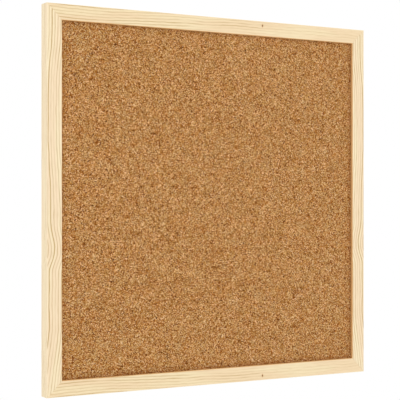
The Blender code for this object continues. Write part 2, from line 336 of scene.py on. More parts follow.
        raised = add_node(tree, "Math", {"operation": "ADD"}, {0: latewood, 1: fibre})
        bump = add_node(tree, "Bump", {"Strength": 0.35, "Distance": self.relief}, {"Height": raised})
        rough = add_node(tree, "MapRange", smooth(0, 1, *self.roughness), {0: amber})
        join_up(tree, shader, Base_Color=colour, Roughness=rough, Normal=bump)
        return material

    def _growth_lines(self, tree: Tree, log_space: Node, across: Node | Socket, depth: Socket) -> Node:
        """Adds the yearly lines: pale, then slowly darker, then pale again past each line.

        Args:
            tree: The material's node tree.
            log_space: The place as along, depth and across.
            across: Distance across the face.
            depth: Distance into the member.

        Returns:
            How much latewood shows, from 0 to 1.
        """
        rings: Node | None = None
        parts = (
            (1 / self.ring_spacing, across),
            (self.ring_tilt / self.ring_spacing, depth),
            (self.wander, self._pattern(tree, log_space, self.slow_waves, 1.0)),
            (self.quick_share * self.wander, self._pattern(tree, log_space, self.quick_waves, 1.0)),
            (self.shiver, self._pattern(tree, log_space, self.shiver_waves, 1.0)),
        )
        for factor, source in parts:
            before = {2: rings} if rings else {}
            settings = {"operation": "MULTIPLY_ADD", 1: factor, 2: self.seed}
            rings = add_node(tree, "Math", settings, {0: source, **before})
        phase = add_node(tree, "Math", {"operation": "FRACT"}, {0: rings})
        stops = [(place, (grey, grey, grey, 1)) for place, grey in self.year]
        late = add_node(tree, "ValToRGB", {"stops": stops}, {0: phase})
        number = add_node(tree, "Math", {"operation": "FLOOR"}, {0: rings})
        chance = add_node(tree, "TexWhiteNoise", {"noise_dimensions": "1D"}, {"W": number})
        weakest = self.weakest_year * self.line_strength
        yearly = add_node(tree, "MapRange", smooth(0, 1, weakest, self.line_strength), {0: chance})
        stretches = self._pattern(tree, log_space, self.fading_waves, 1.0)
        fading = add_node(tree, "MapRange", smooth(*self.fading_band, self.faintest, 1), {0: stretches})
        strength = add_node(tree, "Math", {"operation": "MULTIPLY"}, {0: yearly, 1: fading})
        return add_node(tree, "Math", {"operation": "MULTIPLY"}, {0: late, 1: strength})

    def _knots(
        self, tree: Tree, along: Socket, across: Node | Socket
    ) -> tuple[Node | Socket, list[tuple[Node, str]]]:
        """Adds the pin knots and the swirl of the growth lines round them.

        Args:
            tree: The material's node tree.
            along: Distance along the grain.
            across: Distance across it.

        Returns:
            The distance across as the growth lines see it, and a (mask, colour) pair for each rim and heart.
        """
        masks = []
        bent: Node | Socket = across
        for knot in self.knots:
            away = [
                add_node(tree, "Math", {"operation": "SUBTRACT", 1: centre}, {0: source})
                for centre, source in ((knot.along, along), (knot.across, across))
            ]
            offset = add_node(tree, "CombineXYZ", links={0: away[0], 1: away[1]})
            reach = tuple(1 / (knot.radius * spread) for spread in self.swirl_spread)
            squeezed = (
                add_node(tree, "VectorMath", {"operation": "MULTIPLY", 1: (*factors, 0)}, {0: offset})
                for factors in (reach, (1, self.knot_oval))
            )
            swirl, far = (
                add_node(tree, "VectorMath", {"operation": "LENGTH"}, {0: vector}) for vector in squeezed
            )
            push = add_node(tree, "MapRange", smooth(0, 1, self.swirl_pull, 0), {0: swirl})
            pull = add_node(tree, "Math", {"operation": "MULTIPLY"}, {0: push, 1: away[1]})
            bent = add_node(tree, "Math", {"operation": "SUBTRACT"}, {0: bent, 1: pull})
            for (near, end), tone in ((self.rim_fade, self.knot_rim), (self.heart_fade, self.knot_heart)):
                fade = smooth(knot.radius * near, knot.radius * end, 1, 0)
                masks.append((add_node(tree, "MapRange", fade, {0: far}), tone))
        return bent, masks

    def _pattern(self, tree: Tree, source: Node, waves: Waves, detail: float) -> Node:
        """Adds a soft pattern that is stretched along the grain.

        Args:
            tree: The material's node tree.
            source: The place as along, depth and across.
            waves: Waves per metre along, in depth and across.
            detail: Octaves of finer waves.

        Returns:
            The pattern's value, from 0 to 1.
        """
        shift = tuple(part * self.seed for part in SEED_SPREAD)
        stretched = add_node(tree, "Mapping", {"Scale": waves, "Location": shift}, {0: source})
        return add_node(tree, "TexNoise", {"Scale": 1.0, "Detail": detail}, {0: stretched})


@dataclass(frozen=True)
class CorkFinish:
    """Agglomerated cork, pressed and sanded flat: angular granules, brown to tan, with dark bark flecks."""

    half_opening: float  # from the board's middle to the lip
    name: str = "agglomerated_cork_sanded"
    tones: tuple[str, ...] = ("#502300", "#854912", "#AA6D2A", "#BE8747", "#CFA062", "#E0B580", "#F0CCA3")
    granule: float = 1.5 * MM
    fine_granule: float = 1.1 * MM
    warp: float = 0.5  # how far granules are pushed out of shape, in granules
    patch: float = 4.0  # the width of a patch of one granule size, in granules
    joint: str = "#6B3C0C"
    joint_width: float = 0.14  # in granules
    joint_cover: float = 0.4
    relief: float = 0.25 * MM

    bark: str = "#4C2504"
    fleck_spacing: float = 3.2 * MM
    fleck_share: float = 0.22  # of those places hold a fleck
    fleck_fade: Pair = (0.1, 0.26)  # where a fleck starts and ends to fade, in spacings
    fleck_cover: float = 0.75

    # painted shade along the frame, where the lip shades the cork, deepest at the bottom
    edge_shade: str = "#744010"
    shade_width: float = 16 * MM
    shade_cover: float = 0.3
    shade_steepness: float = 3.0
    shade_drop: float = 2.5 * MM  # how much further the painted shade reaches at the bottom than in the middle
    russet: tuple[float, float, float] = (1.055, 0.97, 0.875)
    olive: tuple[float, float, float] = (1.01, 0.99, 0.9)
    tint_waves: float = 80.0  # per metre
    mottle: Pair = (0.975, 1.025)
    mottle_waves: float = 45.0  # per metre

    def build(self) -> Look:
        """Makes the material.

        Returns:
            The cork material, whose pattern reads the piece's Object coordinates.
        """
        material, tree, shader = new_material(self.name, Roughness=0.9, Specular_IOR_Level=0.2)
        place = add_node(tree, "TexCoord").outputs["Object"]
        wobble = add_node(tree, "TexNoise", {"Scale": 1 / self.granule, "Detail": 2.0}, {0: place})
        middle = {"operation": "SUBTRACT", 1: (0.5, 0.5, 0.5)}
        centred = add_node(tree, "VectorMath", middle, {0: wobble.outputs["Color"]})
        nudge = {"operation": "MULTIPLY_ADD", 1: (self.warp * self.granule,) * 3}
        pushed = add_node(tree, "VectorMath", nudge, {0: centred, 2: place})

        coarse, coarse_joint = self._granules(tree, pushed, self.granule)
        fine, fine_joint = self._granules(tree, pushed, self.fine_granule)
        patches = {"Scale": 1 / (self.patch * self.granule), "Detail": 1.0}
        lot = add_node(tree, "TexNoise", patches, {0: place})
        which = add_node(tree, "MapRange", smooth(*HARD_BAND, 0, 1), {0: lot})
        colour = add_node(tree, "Mix", {"data_type": "RGBA"}, {0: which, 6: coarse, 7: fine})
        joint = add_node(tree, "Mix", {"data_type": "FLOAT"}, {0: which, 2: coarse_joint, 3: fine_joint})
        gap = add_node(tree, "MapRange", smooth(0, 1, self.joint_cover, 0), {0: joint})
        for mask, tone in (
            (gap, self.joint),
            (self._flecks(tree, pushed), self.bark),
            # painted shade along the frame
            (self._shade_near_lip(tree, place), self.edge_shade),
        ):
            colour = add_node(tree, "Mix", laid_over(tone), {0: mask, 6: colour})

        batch = add_node(tree, "TexNoise", {"Scale": self.tint_waves, "Detail": 1.0}, {0: place})
        lean = add_node(tree, "MapRange", smooth(*SOFT_BAND, 0, 1), {0: batch})
        tint = add_node(tree, "Mix", {"data_type": "VECTOR", 4: self.russet, 5: self.olive}, {0: lean})
        colour = add_node(tree, "VectorMath", {"operation": "MULTIPLY"}, {0: colour, 1: tint})
        blotch = add_node(tree, "TexNoise", {"Scale": self.mottle_waves, "Detail": 2.0}, {0: place})
        light = add_node(tree, "MapRange", smooth(*WHOLE_BAND, *self.mottle), {0: blotch})
        colour = add_node(tree, "VectorMath", {"operation": "SCALE"}, {0: colour, "Scale": light})
        bump = add_node(tree, "Bump", {"Strength": 0.7, "Distance": self.relief}, {"Height": joint})
        join_up(tree, shader, Base_Color=colour, Normal=bump)
        return material

    def _granules(self, tree: Tree, place: Node, size: float) -> tuple[Node, Node]:
        """Adds one size of granule.

        Args:
            tree: The material's node tree.
            place: The place, pushed about so that granules aren't round.
            size: The granules' mean size in metres.

        Returns:
            Each granule's own colour, and a value that falls from 1 to 0 in the joints between granules.
        """
        cells = add_node(tree, "TexVoronoi", {"Scale": 1 / size}, {0: place})
        pick = add_node(tree, "SeparateColor", links={0: cells.outputs["Color"]})
        stops = [(number / (len(self.tones) - 1), linear(tone)) for number, tone in enumerate(self.tones)]
        colour = add_node(tree, "ValToRGB", {"stops": stops}, {0: pick})
        to_edge = {"feature": "DISTANCE_TO_EDGE", "Scale": 1 / size}
        edge = add_node(tree, "TexVoronoi", to_edge, {0: place})
        return colour, add_node(tree, "MapRange", smooth(0, self.joint_width, 0, 1), {0: edge})

    def _flecks(self, tree: Tree, place: Node) -> Node:
        """Adds a mask for the flecks of bark.

        Args:
            tree: The material's node tree.
            place: The place, pushed about so that flecks aren't round.

        Returns:
            How much bark shows, from 0 to 1.
        """
        spots = add_node(tree, "TexVoronoi", {"Scale": 1 / self.fleck_spacing}, {0: place})
        fade = smooth(*self.fleck_fade, self.fleck_cover, 0)
        near = add_node(tree, "MapRange", fade, {0: spots.outputs["Distance"]})
        lot = add_node(tree, "SeparateColor", links={0: spots.outputs["Color"]}).outputs[1]
        chosen = add_node(tree, "Math", {"operation": "GREATER_THAN", 1: 1 - self.fleck_share}, {0: lot})
        return add_node(tree, "Math", {"operation": "MULTIPLY"}, {0: near, 1: chosen})

    def _shade_near_lip(self, tree: Tree, place: Socket) -> Node:
        """Adds a mask for painted shade on the strip along the frame, reaching further at the bottom.

        Args:
            tree: The material's node tree.
            place: The place on the sheet.

        Returns:
            How much painted shade shows, from 0 to 1.
        """
        drop = {"operation": "ADD", 1: (0, 0, -self.shade_drop)}
        lowered = add_node(tree, "VectorMath", drop, {0: place})
        sizes = add_node(tree, "VectorMath", {"operation": "ABSOLUTE"}, {0: lowered})
        split = add_node(tree, "SeparateXYZ", links={0: sizes}).outputs
        outermost = add_node(tree, "Math", {"operation": "MAXIMUM"}, {0: split["X"], 1: split["Z"]})
        span = {"From Min": self.half_opening - self.shade_width, "From Max": self.half_opening}
        nearness = add_node(tree, "MapRange", span, {0: outermost})
        steep = add_node(tree, "Math", {"operation": "POWER", 1: self.shade_steepness}, {0: nearness})
        return add_node(tree, "Math", {"operation": "MULTIPLY", 1: self.shade_cover}, {0: steep})


@dataclass(frozen=True)
class FibreboardFinish:
    """Pressed wood fibre: matted flecks and, on hardboard, the square print of the press's wire screen, with
    painted shade in its pits.
    """

    name: str
    base: str
    dark: str
    light: str
    tone_places: tuple[float, ...] = (0.3, 0.5, 0.72)  # of dark, base and light in the pattern
    fibre: float = 1.4 * MM
    screen_pitch: float = 0.0  # no screen print
    screen_share: float = 0.5  # each way's wires over the wood's own fibres
    screen_band: Pair = (0.3, 1.5)  # the height of the print's pits and ridges
    screen_shade_and_light: Pair = (0.82, 1.08)  # painted shade in the pits and painted light on the ridges
    roughness: float = 0.8
    relief: float = 0.25 * MM
    cloud_waves: float = 9.0  # per metre
    cloud_share: float = 0.2

    def build(self) -> Look:
        """Makes the material.

        Returns:
            The fibreboard material, whose pattern reads the piece's Object coordinates.
        """
        material, tree, shader = new_material(self.name, Roughness=self.roughness, Specular_IOR_Level=0.25)
        place = add_node(tree, "TexCoord").outputs["Object"]
        mat = {"Scale": 1 / self.fibre, "Detail": 4.0, "Roughness": 0.7, "Distortion": 0.4}
        height = add_node(tree, "TexNoise", mat, {0: place})
        cloud = add_node(tree, "TexNoise", {"Scale": self.cloud_waves, "Detail": 4.0}, {0: place})
        share = {"data_type": "FLOAT", 0: self.cloud_share}
        both = add_node(tree, "Mix", share, {2: height, 3: cloud})
        tones = (self.dark, self.base, self.light)
        stops = [(at, linear(tone)) for at, tone in zip(self.tone_places, tones)]
        colour = add_node(tree, "ValToRGB", {"stops": stops}, {0: both})
        if self.screen_pitch:
            wires = {"wave_type": "BANDS", "Scale": math.tau / (WAVE_UNITS * self.screen_pitch)}
            for axis in ("X", "Z"):
                wire = add_node(tree, "TexWave", {**wires, "bands_direction": axis}, {0: place})
                pressed = {"operation": "MULTIPLY_ADD", 1: self.screen_share}
                height = add_node(tree, "Math", pressed, {0: wire.outputs["Fac"], 2: height})
            # painted shade in the screen's pits and painted light on its ridges
            shade = add_node(tree, "MapRange", smooth(*self.screen_band, *self.screen_shade_and_light), {0: height})
            colour = add_node(tree, "VectorMath", {"operation": "SCALE"}, {0: colour, "Scale": shade})
        bump = add_node(tree, "Bump", {"Strength": 0.6, "Distance": self.relief}, {"Height": height})
        join_up(tree, shader, Base_Color=colour, Normal=bump)
        return material


@dataclass(frozen=True)
class SteelFinish:
    """Plated or plain steel: a clean metal with faint clouding that breaks up its reflections."""

    name: str
    colour: str
    cloud_colour: str
    roughness: Pair
    cloud_size: float = 1.6 * MM
    grit: float = 0.25 * MM
    relief: float = 0.03 * MM

    def build(self) -> Look:
        """Makes the material.

        Returns:
            The steel material, whose pattern reads the piece's Object coordinates.
        """
        material, tree, shader = new_material(self.name, Metallic=1.0)
        place = add_node(tree, "TexCoord").outputs["Object"]
        cloud = add_node(tree, "TexNoise", {"Scale": 1 / self.cloud_size, "Detail": 2.0}, {0: place})
        patch = add_node(tree, "MapRange", smooth(*SOFT_BAND, 0, 1), {0: cloud})
        colour = add_node(tree, "Mix", between(self.colour, self.cloud_colour), {0: patch})
        rough = add_node(tree, "MapRange", smooth(*WHOLE_BAND, *self.roughness), {0: cloud})
        grit = add_node(tree, "TexNoise", {"Scale": 1 / self.grit, "Detail": 1.0}, {0: place})
        bump = add_node(tree, "Bump", {"Strength": 0.12, "Distance": self.relief}, {"Height": grit})
        join_up(tree, shader, Base_Color=colour, Roughness=rough, Normal=bump)
        return material


@dataclass(frozen=True)
class RubberFinish:
    """Moulded grey rubber: matt, with a faint bloom of dust."""

    name: str = "moulded_rubber"
    colour: str = "#3A3A3B"
    bloom: str = "#5A5957"
    bloom_band: Pair = (0.45, 0.75)
    bloom_cover: float = 0.6
    dust_waves: float = 420.0  # per metre
    relief: float = 0.05 * MM

    def build(self) -> Look:
        """Makes the material.

        Returns:
            The rubber material, whose pattern reads the piece's Object coordinates.
        """
        material, tree, shader = new_material(self.name, Roughness=0.7, Specular_IOR_Level=0.4)
        place = add_node(tree, "TexCoord").outputs["Object"]
        dust = add_node(tree, "TexNoise", {"Scale": self.dust_waves, "Detail": 4.0}, {0: place})
        cover = add_node(tree, "MapRange", smooth(*self.bloom_band, 0, self.bloom_cover), {0: dust})
        colour = add_node(tree, "Mix", between(self.colour, self.bloom), {0: cover})
        bump = add_node(tree, "Bump", {"Strength": 0.2, "Distance": self.relief}, {"Height": dust})
        join_up(tree, shader, Base_Color=colour, Normal=bump)
        return material


# ---------------------------------------------------------------- meshes


def made_of(made: dict[str, Any], kind: type) -> list[Any]:
    """The vertices, edges or faces that a bmesh operator made."""
    return [item for item in made["geom"] if isinstance(item, kind)]


def shift(bm: BMesh, by: Sequence[float]) -> None:
    """Moves everything in a bmesh."""
    bmesh.ops.translate(bm, verts=bm.verts, vec=by)


def rotate(bm: BMesh, axis: str, angle: float) -> None:
    """Turns everything in a bmesh about an axis through the origin."""
    bmesh.ops.rotate(bm, verts=bm.verts, cent=(0, 0, 0), matrix=Matrix.Rotation(angle, 3, axis))


def outline(bm: BMesh, points: Sequence[Sequence[float]]) -> list[BMEdge]:
    """Joins a few points into a closed outline.

    Args:
        bm: The bmesh that gets it.
        points: The corners, in order.

    Returns:
        The outline's edges.
    """
    verts = [bm.verts.new(point) for point in points]
    return [bm.edges.new((verts[place - 1], vert)) for place, vert in enumerate(verts)]


class Sweep:
    """Carries a closed outline along straights and turns, and leaves its skin in a bmesh."""

    def __init__(self, bm: BMesh, rim: Sequence[BMEdge]) -> None:
        """Starts at an outline.

        Args:
            bm: The bmesh that holds the outline.
            rim: The outline's edges.
        """
        self.bm = bm
        self.start = list(rim)
        self.rim = list(rim)

    def straight(self, along: Vector) -> None:
        """Carries the outline along a straight.

        Args:
            along: The straight's direction and length.
        """
        made = bmesh.ops.extrude_edge_only(self.bm, edges=self.rim)
        verts = made_of(made, BMVert)
        bmesh.ops.translate(self.bm, verts=verts, vec=along)
        fresh = set(verts)
        self.rim = [edge for edge in made_of(made, BMEdge) if fresh.issuperset(edge.verts)]

    def turn(self, centre: Vector, axis: Vector, angle: float, steps: int) -> None:
        """Turns the outline about an axis.

        Args:
            centre: A point on the axis.
            axis: The axis's direction.
            angle: How far to turn, in radians.
            steps: How many segments the turn gets.
        """
        geom = self.rim + list({vert for edge in self.rim for vert in edge.verts})
        made = bmesh.ops.spin(self.bm, geom=geom, cent=centre, axis=axis, angle=angle, steps=steps)
        self.rim = [item for item in made["geom_last"] if isinstance(item, BMEdge)]

    def cap(self) -> None:
        """Closes both ends with a flat face."""
        for rim in (self.start, self.rim):
            bmesh.ops.edgeloop_fill(self.bm, edges=rim)

    def join(self) -> None:
        """Joins the last outline to the first."""
        bmesh.ops.remove_doubles(self.bm, verts=self.bm.verts, dist=WELD)


def bar(points: Sequence[Sequence[float]], thickness: float) -> BMesh:
    """Makes a solid from a flat outline.

    Args:
        points: The outline's corners, in order.
        thickness: How far it is carried along Y.

    Returns:
        A bmesh that holds the solid.
    """
    bm = bmesh.new()
    sweep = Sweep(bm, outline(bm, points))
    sweep.straight(Vector((0, thickness, 0)))
    sweep.cap()
    return bm


def bevelled(bm: BMesh, geom: list[Any], radius: float, segments: int, **choices: Any) -> None:
    """Rounds edges or corners.

    Args:
        bm: The bmesh that they belong to.
        geom: The edges or vertices to round.
        radius: How far the rounding reaches.
        segments: How many faces span it.
        choices: The operator's other settings.
    """
    way = {"affect": "EDGES", "offset_type": "OFFSET", "profile": 0.5, "material": -1, **choices}
    bmesh.ops.bevel(bm, geom=geom, offset=radius, segments=segments, **way)


def round_edges(bm: BMesh, radius: float, segments: int = 2) -> None:
    """Rounds every edge too sharp to be shaded smooth.

    Args:
        bm: The bmesh to round.
        radius: How far the rounding reaches from each edge.
        segments: How many faces span it.
    """
    sharp = [edge for edge in bm.edges if len(edge.link_faces) == 2 and edge.calc_face_angle() > ROUND_SIDE]
    bevelled(bm, sharp, radius, segments, clamp_overlap=True)


def rounded_rim(radius: float, inward: float, rise: float) -> list[Pair]:
    """Gives the part of a profile that rounds a turned piece's rim, up to y = 0.

    Args:
        radius: The rim's radius below the rounding.
        inward: How far the rounding reaches in.
        rise: How far it reaches down.

    Returns:
        (radius, y) points.
    """
    angles = (QUARTER_TURN * step / ROUND_STEPS for step in range(ROUND_STEPS + 1))
    return [(radius - inward * (1 - math.cos(angle)), rise * (math.sin(angle) - 1)) for angle in angles]


def turned(profile: Sequence[Pair], sides: int, centre: Sequence[float]) -> BMesh:
    """Turns a profile about a line along Y.

    Args:
        profile: (radius, y) points that begin and end on the line.
        sides: How many faces go round.
        centre: The point on the line where the profile's y is 0.

    Returns:
        A bmesh that holds the shape.
    """
    bm = bmesh.new()
    verts = [bm.verts.new((radius, y, 0)) for radius, y in profile]
    edges = [bm.edges.new(pair) for pair in zip(verts, verts[1:])]
    whole = {"axis": (0, 1, 0), "cent": (0, 0, 0), "angle": math.tau, "steps": sides, "use_merge": True}
    bmesh.ops.spin(bm, geom=verts + edges, **whole)
    bmesh.ops.remove_doubles(bm, verts=bm.verts, dist=WELD)
    shift(bm, centre)
    return bm


def shade(mesh: bpy.types.Mesh) -> None:
    """Shades a mesh's round sides smooth and its corners sharp."""
    mesh.shade_smooth()
    mesh.set_sharp_from_angle(angle=ROUND_SIDE)


def new_object(name: str, bm: BMesh, look: Look | None = None) -> Piece:
    """Turns a bmesh into an object at the origin, with round sides smooth and faces pointing out.

    Args:
        name: The object's name.
        bm: The shape, which is freed.
        look: Its material.

    Returns:
        The new object.
    """
    bmesh.ops.recalc_face_normals(bm, faces=bm.faces)
    mesh = bpy.data.meshes.new(name)
    bm.to_mesh(mesh)
    bm.free()
    shade(mesh)
    if look:
        mesh.materials.append(look)
    piece = bpy.data.objects.new(name, mesh)
    bpy.context.scene.collection.objects.link(piece)
    return piece


def cut_out(piece: Piece, cutters: Sequence[Piece]) -> None:
    """Cuts shapes out of a piece for good and removes them.

    Args:
        piece: The piece to cut.
        cutters: Closed shapes.
    """
    for cutter in cutters:
        modifier = piece.modifiers.new(cutter.name, "BOOLEAN")
        modifier.operation = "DIFFERENCE"
        modifier.solver = "EXACT"
        modifier.object = cutter
    bpy.context.view_layer.update()
    evaluated = piece.evaluated_get(bpy.context.evaluated_depsgraph_get())
    result = bpy.data.meshes.new_from_object(evaluated)
    piece.modifiers.clear()
    piece.data = result
    for cutter in cutters:
        bpy.data.objects.remove(cutter)
    shade(result)


def settle(piece: Piece, body: str, node: str) -> None:
    """Puts a piece in place of its CAD node and reports it.

    Args:
        piece: The finished piece.
        body: The CAD body that it rides on.
        node: The node that it stands for.
    """
    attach(piece, body)
    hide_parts(node)
    LOG.info("%s: %d faces on %s", piece.name, len(piece.data.polygons), body)


def repaint(node: str, look: Look) -> None:
    """Gives a CAD node that keeps its shape a finished material.

    Args:
        node: The node.
        look: Its material.
    """
    shape = frame["nodes"][node].data
    shape.materials.clear()
    shape.materials.append(look)
    LOG.info("%s: repainted as %s", node, look.name)


# ---------------------------------------------------------------- sub-assemblies


@dataclass
class PineFrame:
    """Four mitred pine mouldings round the cork."""

    panel_play: float = 1 * MM  # between the panel's edge and the rebate's wall
    lip_gap: float = 0.3 * MM  # between the lip and the cork
    face_arris: float = 0.9 * MM
    back_arris: float = 0.5 * MM
    rebate_arris: float = 0.2 * MM
    arris_segments: int = 4
    seam: float = 0.06 * MM  # open at each mitre
    girth_step: float = 1.6 * MM
    length_steps: int = 300
    fuzz: float = 0.03 * MM  # height of the grain that planing leaves standing
    fuzz_waves: Waves = (25, 900, 900)  # per metre along, in depth and across
    fuzz_shift: float = 31.0  # waves between one member's fuzz and the next one's
    lip_shade_reach: float = 0.6 * MM  # how far the lip wall's painted shade runs onto the front arris
    arris_mark_depth: float = 0.8  # of the outer arris, worn pale and painted with a highlight
    # the outer side's painted light, as a share of the arris's tone
    side_painted_light: float = 0.45

    def build(self, looks: dict[Side, Look]) -> None:
        """Makes the four members and puts them in place.

        Args:
            looks: The finish for each side.
        """
        for side in Side:
            piece = self._member(side, looks[side])
            settle(piece, BOARD, side.member)

    def _profile(self, side: Side) -> tuple[BMesh, float]:
        """Draws the moulding's section at the member's left end, as if it were the top one.

        Args:
            side: The member's side.

        Returns:
            A bmesh that holds the section, and half the member's length.
        """
        low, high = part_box(side.member)
        panel_low, panel_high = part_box("cork_sheet")
        along, across = (0, 2) if side.level else (2, 0)
        half_length = high[along] + self.lip_gap * math.sqrt(0.5)
        half_span = max(high[across], -low[across])
        rebate = panel_high[across] + self.panel_play
        inner = half_span - (high[across] - low[across])
        front, back, lip_back = low.y, high.y, panel_low.y - self.lip_gap
        corners = (
            (back, half_span, self.back_arris),
            (front, half_span, self.face_arris),
            (front, inner, self.face_arris),
            (lip_back, inner, self.rebate_arris),
            (lip_back, rebate, 0),
            (back, rebate, self.rebate_arris),
        )
        bm = bmesh.new()
        verts = [bm.verts.new((-half_length, y, z)) for y, z, _ in corners]
        bm.faces.new(verts)
        for vert, (_, _, radius) in zip(verts, corners):
            if radius:
                bevelled(bm, [vert], radius, self.arris_segments, affect="VERTICES")
        for edge in bm.edges[:]:
            cuts = round(edge.calc_length() / self.girth_step) - 1
            if cuts > 0:
                bmesh.ops.subdivide_edges(bm, edges=[edge], cuts=cuts)
        return bm, half_length

    def _member(self, side: Side, look: Look) -> Piece:
        """Extrudes, mitres and turns one member.

        Args:
            side: The member's side.
            look: Its finish.

        Returns:
            The finished member.
        """
        bm, half_length = self._profile(side)
        half_span = max(vert.co.z for vert in bm.verts)
        made = bmesh.ops.extrude_face_region(bm, geom=bm.faces[:], use_keep_orig=True)
        bmesh.ops.translate(bm, verts=made_of(made, BMVert), vec=(2 * half_length, 0, 0))
        lengths = [edge for edge in bm.edges if abs(edge.verts[0].co.x - edge.verts[1].co.x) > half_length]
        bmesh.ops.subdivide_edges(bm, edges=lengths, cuts=self.length_steps)
        for vert in bm.verts:
            inset = half_span - vert.co.z + self.seam * math.sqrt(0.5)
            vert.co.x *= (half_length - inset) / half_length
        bmesh.ops.recalc_face_normals(bm, faces=bm.faces)
        bm.normal_update()
        for vert in bm.verts:
            mitre = half_length - (half_span - vert.co.z)
            if abs(vert.co.x) <= mitre - self.girth_step:
                along, deep, across = (size * waves for size, waves in zip(vert.co, self.fuzz_waves))
                own = across + self.fuzz_shift * side.value
                vert.co += vert.normal * self.fuzz * noise.noise(Vector((along, deep, own)))
        self._mark(bm)
        rotate(bm, "Y", side.angle)
        return new_object(f"pine_{side.word}", bm, look)

    def _mark(self, bm: BMesh) -> None:
        """Marks painted shade on the lip's inner wall, wear and a painted highlight on the outer arris, and
        painted light on the outer side.

        Args:
            bm: The member, still as it would lie at the top.
        """
        lip, arris = (bm.verts.layers.float.new(layer) for layer in (LIP_SHADE_LAYER, ARRIS_WEAR_AND_LIGHT_LAYER))
        heights = [vert.co.z for vert in bm.verts]
        inner, outer = min(heights), max(heights)
        front = min(vert.co.y for vert in bm.verts)
        flush = 2 * self.fuzz
        for vert in bm.verts:
            depth = vert.co.y - front
            on_wall = vert.co.z - inner < self.lip_shade_reach and depth > flush
            on_side = outer - vert.co.z < flush
            on_arris = outer - vert.co.z < self.face_arris and depth < self.arris_mark_depth * self.face_arris
            vert[lip] = float(on_wall)
            vert[arris] = 1.0 if on_arris else self.side_painted_light * on_side


@dataclass
class CorkPanel:
    """The panel in the frame: cork on softboard, with a hardboard back."""

    grid: int = 300  # squares along each side of the cork's face
    pit_depth: float = 0.22 * MM
    granule: float = 2.6 * MM
    joint_width: float = 0.3  # in granules
    proud: float = 0.08 * MM
    lift_spread: float = 3.7  # cells of chance between one granule's lift and the next one's

    def build(self, cork: Look, core: Look, back: Look) -> None:
        """Makes the cork's granular face and paints the layers behind it.

        Args:
            cork: The cork's finish.
            core: The softboard's finish.
            back: The hardboard's finish.
        """
        low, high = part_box("cork_sheet")
        bm = bmesh.new()
        bmesh.ops.create_grid(bm, x_segments=self.grid, y_segments=self.grid, size=high.x)
        rotate(bm, "X", QUARTER_TURN)
        shift(bm, (0, low.y, 0))
        rim = [edge for edge in bm.edges if edge.is_boundary]
        rim_verts = {vert for edge in rim for vert in edge.verts}
        for vert in bm.verts:
            if vert not in rim_verts:
                vert.co.y -= self._height(vert.co)
        sweep = Sweep(bm, rim)
        sweep.straight(Vector((0, high.y - low.y, 0)))
        bmesh.ops.edgeloop_fill(bm, edges=sweep.rim)
        settle(new_object("cork_face", bm, cork), BOARD, "cork_sheet")
        repaint("softboard_core", core)
        repaint("hardboard_back", back)

    def _height(self, place: Vector) -> float:
        """How far the cork's face stands out at a place.

        Args:
            place: The place on the face.

        Returns:
            The height in metres, below zero in the pits between granules.
        """
        distances, centres = noise.voronoi(place / self.granule)
        joint = min((distances[1] - distances[0]) / self.joint_width, 1.0)
        lift = noise.cell(centres[0] * self.lift_spread)
        return self.proud * lift - self.pit_depth * (1 - joint) ** 2


@dataclass
class PanelFixings:
    """V-nails across the mitres and flexible points over the panel's back."""

    nail_leg: float = 4.5 * MM
    nail_thickness: float = 0.6 * MM
    nail_round: float = 0.08 * MM
    nail_proud: float = 0.04 * MM  # a hair over the wood, where the driver stopped
    point_round: float = 0.15 * MM
    point_taper: float = 2 * MM  # the length of a point's sharp end
    point_bend: float = 0.5 * MM  # lift of a point's free end
    bend_drop: float = 1 * MM  # from a point's middle to where the bend starts
    bend_cuts: int = 4  # across the free half, so that it can bend

    def build(self, look: Look) -> None:
        """Makes every nail and point.

        Args:
            look: The plain steel finish.
        """
        frame_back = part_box(Side.TOP.member)[1].y
        for node in frame["nodes"]:
            if node.startswith("v_nail_"):
                bm = self._nail(node, frame_back)
            elif node.startswith("panel_point_"):
                bm = self._point(node)
            else:
                continue
            settle(new_object(f"steel_{node}", bm, look), BOARD, node)

    def _nail(self, node: str, frame_back: float) -> BMesh:
        """Makes one V-nail, its point towards the frame's outer corner.

        Args:
            node: The nail's node.
            frame_back: The y of the frame's back.

        Returns:
            The nail's shape.
        """
        low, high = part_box(node)
        out_x, out_z = math.copysign(1, low.x), math.copysign(1, low.z)
        tip = Vector((high.x if out_x > 0 else low.x, low.y, high.z if out_z > 0 else low.z))
        leg, thick = self.nail_leg, self.nail_thickness
        angle = ((0, 0), (leg, 0), (leg, thick), (thick, thick), (thick, leg), (0, leg))
        points = [(tip.x - out_x * across, low.y, tip.z - out_z * down) for across, down in angle]
        bm = bar(points, frame_back + self.nail_proud - low.y)
        round_edges(bm, self.nail_round)
        return bm

    def _point(self, node: str) -> BMesh:
        """Makes one flexible point, bent up a little where it bears on the panel.

        Args:
            node: The point's node.

        Returns:
            The point's shape.
        """
        side = Side[node.split("_")[2].upper()]
        low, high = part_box(node)
        back = Matrix.Rotation(side.angle, 3, "Y").inverted()
        ends = (back @ low, back @ high)
        left, right = sorted(end.x for end in ends)
        foot, tip = sorted(end.z for end in ends)
        middle, waist = (left + right) / 2, (foot + tip) / 2
        shoulder = tip - self.point_taper
        corners = ((left, foot), (right, foot), (right, shoulder), (middle, tip), (left, shoulder))
        bm = bar([(x, low.y, z) for x, z in corners], high.y - low.y)
        round_edges(bm, self.point_round)
        for cut in range(1, self.bend_cuts + 1):
            height = foot + cut * (tip - foot) / (2 * self.bend_cuts)
            geom = bm.verts[:] + bm.edges[:] + bm.faces[:]
            bmesh.ops.bisect_plane(bm, geom=geom, plane_co=(0, 0, height), plane_no=(0, 0, 1))
        bend_from = waist - self.bend_drop
        for vert in bm.verts:
            reach = max(bend_from - vert.co.z, 0) / (bend_from - foot)
            vert.co.y += self.point_bend * reach**2
        rotate(bm, "Y", side.angle)
        return bm


